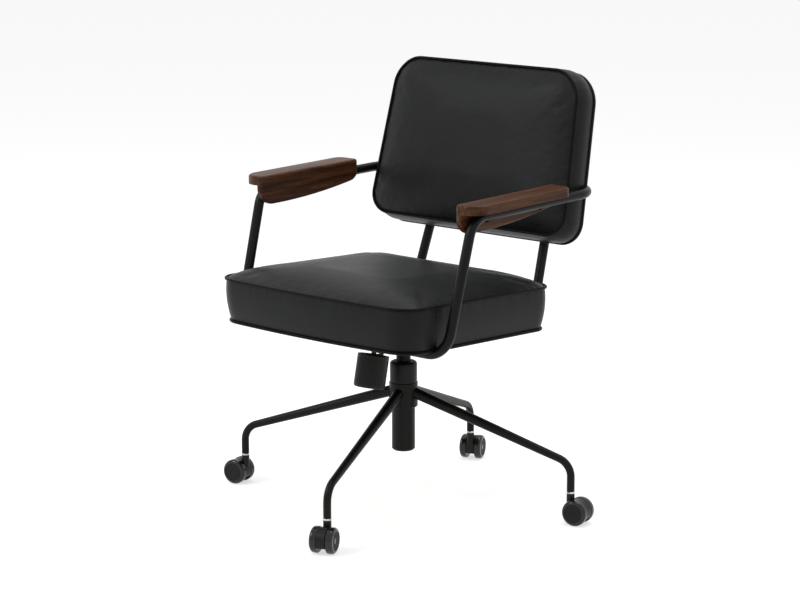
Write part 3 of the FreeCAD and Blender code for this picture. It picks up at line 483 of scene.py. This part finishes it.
@dataclass
class BoxCushion:
    """A leather box cushion: crowned face, boxing strip and piping at both seams.

    All sizes are in millimetres. It is drawn lying down: x across, y along and z out of the
    crowned face.
    """

    name: str
    half_low: float
    half_high: float
    low_y: float
    high_y: float
    radius_low: float
    radius_high: float
    top_z: float
    bottom_z: float
    crown: float
    bulge: float
    bottom_inset: float
    board_inset: float
    board_depth: float
    pocket_gap: float = 0.6
    bow: float = 0.0
    slope: float = 0.0
    face_lift: float = 0.0
    plain_rear_piping: bool = False
    steps: int = 56
    crown_power: float = 8.0
    pucker_reach: float = 40.0
    pucker_fade: float = 14.0
    piping_radius: float = 2.9
    seam_radius: float = 1.3
    seam_places: tuple[tuple[float, float], ...] = ()
    fill_frames: int = 20
    swell_cap: float = 6.0
    place: Matrix = field(default_factory=lambda: Matrix.Identity(4))

    def plan(self, a: float, b: float, grow: float) -> tuple[float, float]:
        """Place of a unit square's point in the cushion's outline.

        Args:
            a: Across, minus one to one.
            b: Along, minus one at the low edge to one at the high edge.
            grow: How far the outline is moved outwards.

        Returns:
            x and y.
        """
        half_y = (self.high_y - self.low_y) / 2 + grow
        middle = (self.high_y + self.low_y) / 2
        half_x = self.half_low + (self.half_high - self.half_low) * (b + 1) / 2 + grow
        radius = (self.radius_low if b < 0 else self.radius_high) + grow * 0.6
        x, y = corner_fill(a * half_x, b * half_y, half_x, half_y, radius)
        toward_front = max(0.0, -y / half_y) ** 2
        y -= self.bow * (1 - min(1.0, (x / half_x) ** 2)) * toward_front
        return x, y + middle

    def lift(self, b: float, share: float) -> float:
        """How far the cover climbs from the board's low edge towards the crowned face.

        Args:
            b: Along, minus one at the low edge to one at the high edge.
            share: Zero at the board to one at the crowned face.

        Returns:
            The climb along y.
        """
        return self.face_lift * share * (1 - b) / 2

    def seam_z(self, y: float) -> float:
        """Height of the upper seam.

        Args:
            y: Place along.

        Returns:
            z.
        """
        return self.top_z - self.slope * y

    def board_z(self, y: float) -> float:
        """Height of the board's face, where the lower seam lies.

        Args:
            y: Place along.

        Returns:
            z.
        """
        return self.bottom_z - self.slope * y

    def point(self, a: float, b: float, c: float) -> tuple[float, float, float]:
        """Place of a unit cube's surface point on the cushion.

        Args:
            a: Across.
            b: Along.
            c: Minus one at the board to one at the crowned face.

        Returns:
            x, y and z.
        """
        if c >= RIM:
            x, y = self.plan(a, b, 0.0)
            rise = (1 - abs(a) ** self.crown_power) * (1 - abs(b) ** self.crown_power)
            return x, y + self.lift(b, 1.0), self.seam_z(y) + self.crown * rise
        if c <= -RIM:
            return self.rear_point(a, b)
        share = (c + 1) / 2
        grow = -self.bottom_inset * (1 - share) + self.bulge * 4 * share * (1 - share)
        x, y = self.plan(a, b, grow)
        low = self.board_z(y)
        return x, y + self.lift(b, share), low + (self.seam_z(y) - low) * share

    def rear_point(self, a: float, b: float) -> tuple[float, float, float]:
        """Place of a unit square's point on the rear: a turned-in rim round the board's pocket.

        Args:
            a: Across.
            b: Along.

        Returns:
            x, y and z.
        """
        rim = 1 - 4.0 / self.steps
        ring = max(abs(a), abs(b))
        if ring > rim + 1e-6:
            share = (1 - ring) / (1 - rim)
            inner = self.board_point(a / ring, b / ring)
            outer = self.plan(a / ring, b / ring, -self.bottom_inset)
            x = outer[0] + (inner[0] - outer[0]) * share
            y = outer[1] + (inner[1] - outer[1]) * share
            return x, y, self.board_z(y)
        x, y = self.board_point(a / rim, b / rim)
        depth = 0.0 if ring > rim - 1e-6 else self.board_depth
        return x, y, self.board_z(y) + depth

    def board_point(self, a: float, b: float) -> tuple[float, float]:
        """Place of a unit square's point in the pocket round the board.

        Args:
            a: Across.
            b: Along.

        Returns:
            x and y.
        """
        return self.plan(a, b, self.pocket_gap - self.board_inset)

    def build_cage(self) -> bpy.types.Object:
        """Subdivides a cube and moves its points to the cushion's form.

        Returns:
            The cage, with its seams and rear in the vertex group that the cloth holds.
        """
        deselect_all()
        bpy.ops.mesh.primitive_cube_add(size=2.0, location=(0, 0, 0))
        piece = bpy.context.object
        piece.name = self.name
        piece.data.name = self.name
        bpy.ops.object.mode_set(mode="EDIT")
        bpy.ops.mesh.select_all(action="SELECT")
        bpy.ops.mesh.subdivide(number_cuts=self.steps - 1)
        bpy.ops.object.mode_set(mode="OBJECT")
        seam = piece.vertex_groups.new(name="seam")
        held = []
        for vertex in piece.data.vertices:
            a, b, c = (max(-1.0, min(1.0, k)) for k in vertex.co)
            on_seam = abs(c) > RIM and max(abs(a), abs(b)) > RIM
            if on_seam or c < -RIM:
                held.append(vertex.index)
            vertex.co = Vector(self.point(a, b, c)) * MM
        seam.add(held, 1.0, "REPLACE")
        piece.data.update()
        return piece

    def swell(self, piece: bpy.types.Object) -> None:
        """Lets cloth pressure fill the leather between its held seams.

        Args:
            piece: The cage.
        """
        rest = [vertex.co.copy() for vertex in piece.data.vertices]
        make_active(piece)
        cloth = piece.modifiers.new("fill", "CLOTH")
        cloth.settings.quality = 6
        cloth.settings.mass = 0.35
        cloth.settings.tension_stiffness = 22.0
        cloth.settings.compression_stiffness = 22.0
        cloth.settings.shear_stiffness = 8.0
        cloth.settings.bending_stiffness = 3.0
        cloth.settings.use_pressure = True
        cloth.settings.uniform_pressure_force = 4.0
        cloth.settings.vertex_group_mass = "seam"
        cloth.settings.effector_weights.gravity = 0.0
        cloth.collision_settings.use_collision = False
        cloth.point_cache.frame_start = 1
        cloth.point_cache.frame_end = self.fill_frames
        for step in range(1, self.fill_frames + 1):
            bpy.context.scene.frame_set(step)
        bpy.ops.object.modifier_apply(modifier="fill")
        bpy.context.scene.frame_set(1)
        for vertex, start in zip(piece.data.vertices, rest):
            move = vertex.co - start
            if move.length > self.swell_cap * MM:
                vertex.co = start + move * (self.swell_cap * MM / move.length)

    def smooth(self, piece: bpy.types.Object) -> None:
        """Subdivides once, so that the crown and corners run smoothly.

        Args:
            piece: The filled cage.
        """
        make_active(piece)
        finer = piece.modifiers.new("finer", "SUBSURF")
        finer.levels = 1
        finer.render_levels = 1
        bpy.ops.object.modifier_apply(modifier="finer")
        bpy.ops.object.shade_smooth()

    def pucker(self, piece: bpy.types.Object, depth_mm: float, wave_mm: float) -> None:
        """Draws the leather in small puckers that die out away from the upper seam.

        Args:
            piece: The finished cushion, still lying down.
            depth_mm: Depth of a pucker.
            wave_mm: Distance from one pucker to the next.
        """
        points = [vertex.co.copy() for vertex in piece.data.vertices]
        normals = [vertex.normal.copy() for vertex in piece.data.vertices]
        for vertex, point, normal in zip(piece.data.vertices, points, normals):
            x, y, z = point / MM
            away = abs(z - self.seam_z(y))
            if away > self.pucker_reach:
                continue
            ripple = noise.noise(Vector((x / wave_mm, y / wave_mm, 3.7)))
            fade = math.exp(-away / self.pucker_fade)
            vertex.co = point - normal * (depth_mm * MM * ripple * fade)

    def seam_loop(self, c: float, name: str) -> bpy.types.Object:
        """Makes the piping tube along one seam.

        Args:
            c: One for the seam at the crowned face, minus one for the seam at the board.
            name: The piece's name.

        Returns:
            The piping, still lying down.
        """
        deselect_all()
        bpy.ops.mesh.primitive_grid_add(x_subdivisions=self.steps, y_subdivisions=self.steps,
                                        size=2.0)
        piece = bpy.context.object
        piece.name = name
        bpy.ops.object.mode_set(mode="EDIT")
        bpy.ops.mesh.select_all(action="DESELECT")
        bpy.ops.object.mode_set(mode="OBJECT")
        for vertex in piece.data.vertices:
            vertex.select = max(abs(vertex.co.x), abs(vertex.co.y)) < RIM
        bpy.ops.object.mode_set(mode="EDIT")
        bpy.ops.mesh.delete(type="VERT")
        bpy.ops.object.mode_set(mode="OBJECT")
        stand_off = self.piping_radius * 0.25
        for vertex in piece.data.vertices:
            a, b = (max(-1.0, min(1.0, k)) for k in (vertex.co.x, vertex.co.y))
            inset = self.bottom_inset if c < 0 else 0.0
            x, y = self.plan(a, b, -inset + self.piping_radius * 0.45)
            seam = self.seam_z(y) + stand_off if c > 0 else self.board_z(y) - stand_off
            climb = self.lift(b, 1.0) if c > 0 else 0.0
            vertex.co = Vector((x, y + climb, seam)) * MM
        bpy.ops.object.convert(target="CURVE")
        curve = bpy.context.object
        curve.data.bevel_depth = self.piping_radius * MM
        curve.data.bevel_resolution = 3
        bpy.ops.object.convert(target="MESH")
        piping = bpy.context.object
        piping.name = name
        bpy.ops.object.shade_smooth()
        return piping

    def boxing_seam(self, a: float, b: float, name: str) -> bpy.types.Object:
        """Makes the raised stitch line where two lengths of boxing meet.

        Args:
            a: Place across on the unit square's rim.
            b: Place along on the unit square's rim.
            name: The piece's name.

        Returns:
            The seam, still lying down.
        """
        deselect_all()
        bpy.ops.curve.primitive_nurbs_path_add(location=(0, 0, 0))
        curve = bpy.context.object
        curve.name = name
        spline = curve.data.splines[0]
        last = len(spline.points) - 1
        for i, knot in enumerate(spline.points):
            knot.co = (*(Vector(self.point(a, b, 1.9 * i / last - 0.95)) * MM), 1.0)
        spline.use_endpoint_u = True
        curve.data.bevel_depth = self.seam_radius * MM
        curve.data.bevel_resolution = 2
        curve.data.use_fill_caps = True
        bpy.ops.object.convert(target="MESH")
        bpy.ops.object.shade_smooth()
        return bpy.context.object

    def stand(self, piece: bpy.types.Object) -> None:
        """Moves a lying piece to its place on the chair.

        Args:
            piece: The piece.
        """
        piece.data.transform(self.place)
        piece.data.update()

    def build(self, leather: bpy.types.Material, trim: bpy.types.Material, node: str,
              slot: str) -> bpy.types.Object:
        """Builds the cushion with its piping.

        Args:
            leather: The cushion's material.
            trim: The piping's material, a near-black leather that paints the shade along the seams.
            node: The CAD node that the cushion stands for.
            slot: The record's material slot; not used.

        Returns:
            The cushion.
        """
        piece = self.build_cage()
        self.swell(piece)
        self.smooth(piece)
        self.pucker(piece, 1.1, 11.0)
        self.stand(piece)
        make_active(piece)
        dress(piece, leather)
        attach(piece, "seat")
        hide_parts(node)
        trims = [self.seam_loop(c, "%s_%s" % (self.name, label))
                 for c, label in ((1.0, "front_piping"), (-1.0, "rear_piping"))]
        trims += [self.boxing_seam(a, b, "%s_boxing_seam_%d" % (self.name, i))
                  for i, (a, b) in enumerate(self.seam_places)]
        # Pipings and boxing seams take the near-black trim leather, painted shade that draws each
        # seam as a dark line; the back's rear piping stays plain leather.
        for piece_of_trim in trims:
            self.stand(piece_of_trim)
            plain = self.plain_rear_piping and piece_of_trim.name.endswith("rear_piping")
            dress(piece_of_trim, leather if plain else trim)
            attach(piece_of_trim, "seat")
        log.info("%s: %d faces", self.name, len(piece.data.polygons))
        return piece


def seat_cushion() -> BoxCushion:
    """Describes the seat's cushion, drawn where it lies.

    Returns:
        The cushion.
    """
    return BoxCushion(name="seat_upholstery", half_low=246, half_high=238, low_y=-262, high_y=166,
                      radius_low=48, radius_high=42, top_z=445.5, bottom_z=365, crown=26, bulge=4,
                      bottom_inset=7, board_inset=14, board_depth=12, bow=14,
                      slope=math.tan(math.radians(2.3)), seam_places=((1.0, -0.64), (-1.0, -0.64)))


def back_cushion() -> BoxCushion:
    """Describes the backrest's cushion, drawn lying on its rear face.

    Returns:
        The cushion.
    """
    lean = math.radians(13.0)
    foot = Matrix.Translation(Vector((0, 0.1752, 0.524)))
    place = foot @ Matrix.Rotation(math.pi / 2 - lean, 4, "X")
    return BoxCushion(name="back_upholstery", half_low=248, half_high=228, low_y=0, high_y=327,
                      radius_low=46, radius_high=56, top_z=0, bottom_z=-56, crown=19, bulge=6,
                      bottom_inset=0, board_inset=16, board_depth=10, face_lift=11,
                      plain_rear_piping=True, steps=52, place=place)


@dataclass
class CasterDiscs:
    """The matt disc let into the outer face of each glossy caster wheel."""

    disc_dia: float = 35.8
    wheel_width: float = 13.8
    recess: float = 0.9
    chamfer: float = 1.0
    dish_width: float = 11.0
    hub_step: float = 0.6

    def build(self, plastic: bpy.types.Material, place: str, side: str) -> bpy.types.Object:
        """Builds one wheel's disc.

        Args:
            plastic: The material.
            place: The caster's place in the record's names.
            side: The wheel's letter.

        Returns:
            The disc.
        """
        low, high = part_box("caster_wheel_%s_%s" % (place, side))
        centre = (low + high) / 2
        other = "b" if side == "a" else "a"
        low_b, high_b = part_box("caster_wheel_%s_%s" % (place, other))
        outward = (centre - (low_b + high_b) / 2).normalized()
        deselect_all()
        bpy.ops.mesh.primitive_circle_add(vertices=48, radius=self.disc_dia / 2 * MM,
                                          fill_type="NGON", location=(0, 0, 0))
        disc = bpy.context.object
        disc.name = "caster_disc_%s_%s" % (place, side)
        bpy.ops.object.mode_set(mode="EDIT")
        bpy.ops.mesh.select_all(action="SELECT")
        bpy.ops.mesh.extrude_region_move(TRANSFORM_OT_translate={"value": (0, 0, self.recess * MM)})
        bpy.ops.mesh.inset(thickness=self.chamfer * MM)
        bpy.ops.transform.translate(value=(0, 0, 0.1 * MM))
        bpy.ops.mesh.inset(thickness=self.dish_width * MM)
        bpy.ops.transform.translate(value=(0, 0, 0.25 * MM))
        bpy.ops.mesh.inset(thickness=self.hub_step * MM)
        bpy.ops.transform.translate(value=(0, 0, -0.5 * MM))
        bpy.ops.mesh.select_all(action="SELECT")
        bpy.ops.mesh.normals_make_consistent(inside=False)
        bpy.ops.object.mode_set(mode="OBJECT")
        bpy.ops.object.shade_smooth_by_angle(angle=math.radians(35))
        face = centre + outward * ((self.wheel_width / 2 - self.recess) * MM)
        disc.rotation_mode = "QUATERNION"
        disc.rotation_quaternion = outward.to_track_quat("Z", "Y")
        disc.location = face
        settle(disc)
        dress(disc, plastic)
        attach(disc, "wheel_%s_%s" % (place, side))
        return disc


@dataclass
class FrameFinishes:
    """Gives each carried-over CAD node its finish."""

    finishes: dict[str, bpy.types.Material]

    def dress_nodes(self, names: list[str], finish: str) -> None:
        """Puts one finish on several nodes.

        Args:
            names: The CAD nodes.
            finish: The finish's name.
        """
        for name in names:
            dress(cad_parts[name], self.finishes[finish])

    def build(self) -> None:
        """Dresses every CAD node that stays in view."""
        self.dress_nodes(["base_hub", "stand_tube", "arm_loop", "upright_left", "upright_right",
                          "back_spacers"] + ["leg_" + place for place in PLACES], "coat")
        self.dress_nodes(["mechanism_pan", "top_plate", "gas_cylinder"], "rough_coat")
        self.dress_nodes(["column_cap", "tube_plugs", "lever_grip"], "plastic")
        self.dress_nodes(["tension_knob"], "knob")
        self.dress_nodes(["guide_bush", "tilt_bush_left", "tilt_bush_right"], "acetal")
        self.dress_nodes(["thrust_bearing", "retaining_clip", "release_pin", "tilt_shaft",
                          "height_lever"], "zinc")
        self.dress_nodes(["back_bolts", "rail_bolts", "armrest_screws", "plate_bolts",
                          "spring_washer", "tension_bolt"], "black_zinc")
        self.dress_nodes(["piston_rod"], "chrome")
        self.dress_nodes(["tension_spring"], "spring")
        self.dress_nodes(["seat_board"], "ply")
        self.dress_nodes(["back_board", "seat_cushion", "back_cushion"], "leather")
        self.dress_nodes(["armrest_left", "armrest_right"], "walnut")
        for place in PLACES:
            self.dress_nodes(["caster_stem_" + place, "caster_axle_" + place], "zinc")
            self.dress_nodes(["caster_hood_" + place], "hood")
            self.dress_nodes(["caster_wheel_%s_%s" % (place, side) for side in SIDES], "tread")


def build_finishes() -> dict[str, bpy.types.Material]:
    """Builds every finish once.

    Returns:
        Finish name to material.
    """
    return {
        "coat": PowderCoat().build(),
        # Sprayed paint on the hidden pressings is duller than the baked coat.
        "rough_coat": PowderCoat(name="painted_steel", roughness=0.48, peel_mm=0.6).build(),
        # Polypropylene looks soft and even, without a sharp highlight.
        "plastic": MouldedPlastic(name="polypropylene").build(),
        "knob": MouldedPlastic(name="polypropylene_knob", colour="#121211", roughness=0.42).build(),
        "hood": MouldedPlastic(name="nylon_hood", colour="#131312", roughness=0.34).build(),
        # Polished nylon shows a clear round highlight, and the discs beside it stay matt.
        "tread": MouldedPlastic(name="polished_nylon", colour="#0a0a0a", roughness=0.16,
                                spark_mm=3.0, spark_depth_mm=0.01, coat=0.45).build(),
        "disc": MouldedPlastic(name="matt_nylon", colour="#141413", roughness=0.55).build(),
        # Acetal is a dull ivory white.
        "acetal": MouldedPlastic(name="acetal", colour="#b8b4a8", roughness=0.4).build(),
        "zinc": PlatedSteel().build(),
        # Black zinc keeps a metal's shine but hardly any brightness.
        "black_zinc": PlatedSteel(name="black_zinc_steel", colour="#3a3a38",
                                  stain="#262625").build(),
        # Ground chrome mirrors the room in one narrow streak.
        "chrome": PlatedSteel(name="ground_chrome", colour="#d2d4d4", stain="#c4c6c6",
                              roughness=0.12).build(),
        # Oil tempered wire is brown-black with a thin film of shine.
        "spring": PlatedSteel(name="oil_tempered_wire", colour="#4a4844", stain="#2f2d2a",
                              roughness=0.34).build(),
        "ply": BirchPly().build(),
        "leather": Leather().build(),
        # The piping's leather is stretched over its cord, so it is smoother; its near-black colour
        # is painted shade, so that each seam reads as a dark line.
        "piping": Leather(name="pigmented_leather_piping_painted_shade", colour="#040405", rubbed="#080809",
                          specular=0.08, sheen=0.0, crease_depth_mm=0.1).build(),
        "walnut": Walnut().build(),
    }


@dataclass
class Studio:
    """Pale floor, white surroundings, soft boxes and the camera of the photograph."""

    camera_place: tuple[float, float, float] = (3.0984, -3.4780, 1.3566)
    camera_azimuth: float = 41.78
    camera_pitch: float = 11.54
    focal_px: float = 2458.0
    frame_px: float = 800.0
    sensor_mm: float = 36.0
    floor_size: float = 60.0
    floor_glow: float = 0.62
    ambient: float = 0.4

    def build_floor(self) -> None:
        """Adds the floor, white to the camera and kept a little dark under the chair."""
        deselect_all()
        bpy.ops.mesh.primitive_plane_add(size=self.floor_size, location=(0, 0, 0))
        floor = bpy.context.object
        floor.name = "studio_floor"
        material = bpy.data.materials.new("matt_white_floor")
        material.use_nodes = True
        tree = material.node_tree
        tree.nodes.clear()
        ray = add_node(tree, "ShaderNodeLightPath")
        seen = larger_of(tree, ray.outputs["Is Camera Ray"], ray.outputs["Is Glossy Ray"])
        glow = add_node(tree, "ShaderNodeMath", {0: seen, 1: self.floor_glow}, operation="MULTIPLY")
        lit = add_node(tree, "ShaderNodeBsdfDiffuse", {"Color": srgb("#e6e6e6")})
        shine = add_node(tree, "ShaderNodeEmission",
                         {"Color": (1, 1, 1, 1), "Strength": glow.outputs[0]})
        both = add_node(tree, "ShaderNodeAddShader", {0: lit.outputs[0], 1: shine.outputs[0]})
        add_node(tree, "ShaderNodeOutputMaterial", {"Surface": both.outputs[0]})
        dress(floor, material)

    def build_world(self) -> None:
        """Surrounds the chair with white that the camera and reflections see in full."""
        world = bpy.data.worlds.new("white_studio")
        bpy.context.scene.world = world
        world.use_nodes = True
        tree = world.node_tree
        tree.nodes.clear()
        ray = add_node(tree, "ShaderNodeLightPath")
        seen = larger_of(tree, ray.outputs["Is Camera Ray"], ray.outputs["Is Glossy Ray"])
        clear = larger_of(tree, seen, ray.outputs["Is Transmission Ray"])
        strength = value_range(tree, clear, self.ambient, 1.0)
        back = add_node(tree, "ShaderNodeBackground", {"Color": (1, 1, 1, 1), "Strength": strength})
        add_node(tree, "ShaderNodeOutputWorld", {"Surface": back.outputs[0]})

    def add_soft_box(self, name: str, place: tuple[float, float, float], size: tuple[float, float],
                     watts: float, aim: tuple[float, float, float] = (0, 0, 0.5)) -> None:
        """Adds one rectangular lamp.

        Args:
            name: The lamp's name.
            place: Where it hangs.
            size: Its width and height.
            watts: Its power.
            aim: The point that it faces.
        """
        deselect_all()
        bpy.ops.object.light_add(type="AREA", location=place)
        lamp = bpy.context.object
        lamp.name = name
        lamp.data.shape = "RECTANGLE"
        lamp.data.size, lamp.data.size_y = size
        lamp.data.energy = watts
        lamp.rotation_mode = "QUATERNION"
        lamp.rotation_quaternion = (Vector(aim) - Vector(place)).to_track_quat("-Z", "Y")

    def build_camera(self) -> None:
        """Adds the camera at the photograph's place."""
        deselect_all()
        bpy.ops.object.camera_add(location=self.camera_place)
        camera = bpy.context.object
        camera.data.lens = self.focal_px / self.frame_px * self.sensor_mm
        camera.data.sensor_width = self.sensor_mm
        azimuth = math.radians(self.camera_azimuth)
        pitch = math.radians(self.camera_pitch)
        look = Vector((-math.sin(azimuth) * math.cos(pitch), math.cos(azimuth) * math.cos(pitch),
                       -math.sin(pitch)))
        camera.rotation_mode = "QUATERNION"
        camera.rotation_quaternion = look.to_track_quat("-Z", "Y")
        camera.data.clip_start = 0.1
        camera.data.clip_end = 100.0
        bpy.context.scene.camera = camera

    def build(self) -> None:
        """Builds the whole studio."""
        self.build_floor()
        self.build_world()
        self.add_soft_box("key_box", (-1.6, -3.0, 2.9), (1.6, 1.6), 58.0)
        self.add_soft_box("side_box", (3.2, -0.6, 2.0), (1.2, 2.0), 4.0)
        self.add_soft_box("top_box", (0.2, 0.6, 3.4), (2.4, 2.4), 40.0)
        self.build_camera()
        bpy.context.scene.view_settings.view_transform = "Standard"


def main() -> None:
    """Builds the chair's looks in order and reports each piece."""
    logging.basicConfig(level=logging.INFO, format="%(message)s")
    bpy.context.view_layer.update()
    finishes = build_finishes()
    FrameFinishes(finishes).build()
    for cushion, node in ((seat_cushion(), "seat_cushion"), (back_cushion(), "back_cushion")):
        cushion.build(finishes["leather"], finishes["piping"], node, "black_leather")
    discs = CasterDiscs()
    for place in PLACES:
        for side in SIDES:
            disc = discs.build(finishes["disc"], place, side)
            log.info("%s: %d faces", disc.name, len(disc.data.polygons))
    Studio().build()


if __name__ == "__main__":
    main()
